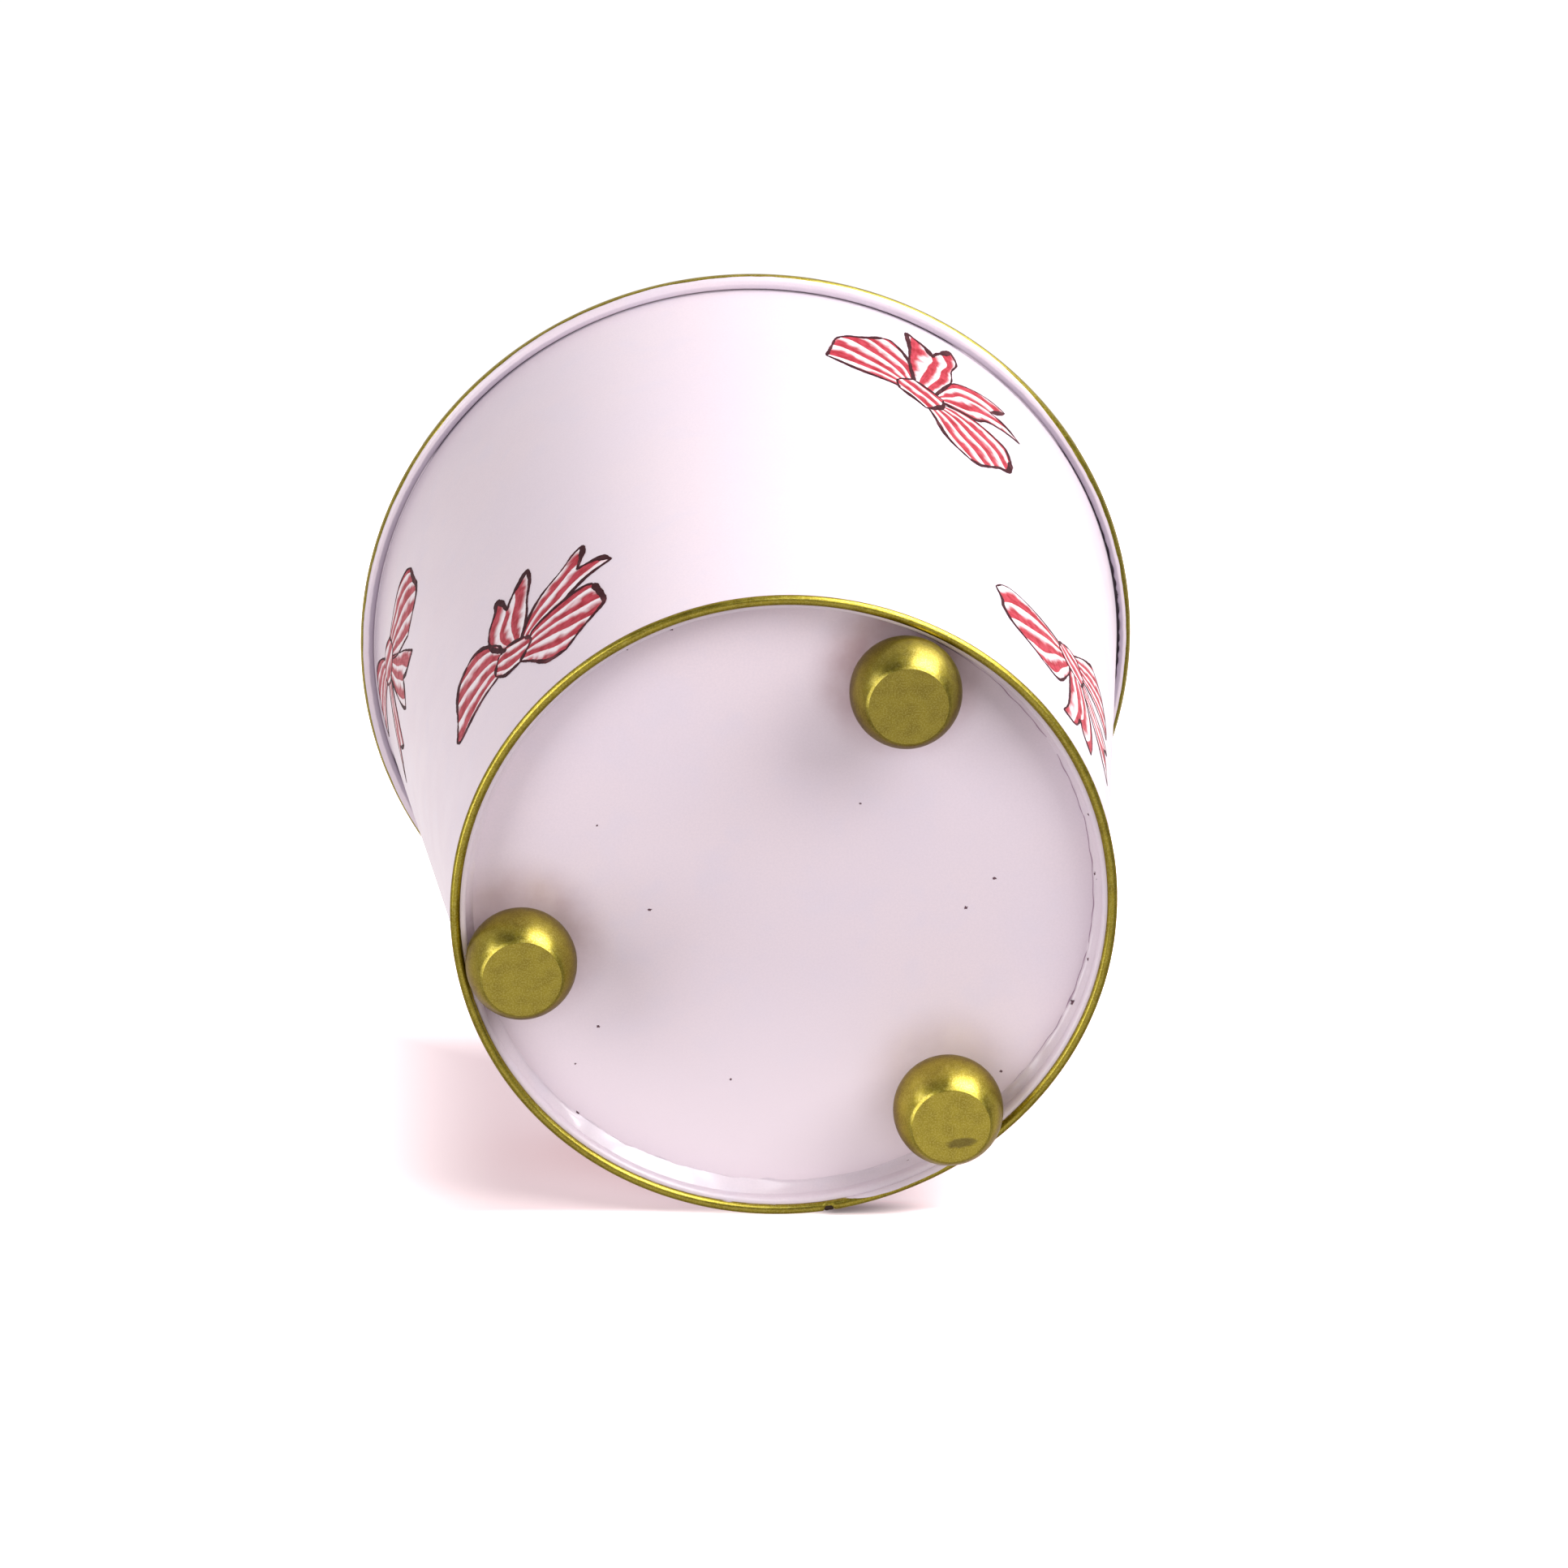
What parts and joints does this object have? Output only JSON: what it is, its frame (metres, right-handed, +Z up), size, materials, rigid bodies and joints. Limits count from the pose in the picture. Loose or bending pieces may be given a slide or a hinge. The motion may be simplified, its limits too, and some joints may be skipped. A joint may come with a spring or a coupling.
{
  "type": "footed tapered pot",
  "caption": "Round tapered sheet-metal pot with a wired rim, a recessed bottom and ball feet, open at the top, for holding small things or a liner.",
  "frame": {"origin": "on the pot's axis, on the surface that the feet stand on", "axes": "+Z up along the pot's axis, from the feet to the open rim; -Y is the front; the wall's lap seam is at the back, 9 degrees from +Y towards +X"},
  "size_m": [0.1534, 0.1534, 0.1524],
  "materials": {
    "lilac_enamel": "satin hand-applied enamel, pale pink-lilac, slightly uneven",
    "gold_paint": "satin metallic gold paint with a greenish cast, fine stipple",
    "gold_paint_wood": "turned wood under satin metallic gold paint, duller on the ground flat",
    "steel_wire": "plain drawn wire",
    "zinc_steel": "bright zinc plating",
    "bow_paint": "hand-painted red and white stripes with a dark maroon outline, satin"
  },
  "bodies": {
    "root": {"body_wall": "lilac_enamel", "rim_wire": "steel_wire", "base_ring": "gold_paint", "bottom_plate": "lilac_enamel", "solder_fillet": "lilac_enamel", "foot_1": "gold_paint_wood", "foot_washer_1": "zinc_steel", "foot_screw_1": "zinc_steel", "foot_2": "gold_paint_wood", "foot_washer_2": "zinc_steel", "foot_screw_2": "zinc_steel", "foot_3": "gold_paint_wood", "foot_washer_3": "zinc_steel", "foot_screw_3": "zinc_steel"}
  },
  "joints": []
}
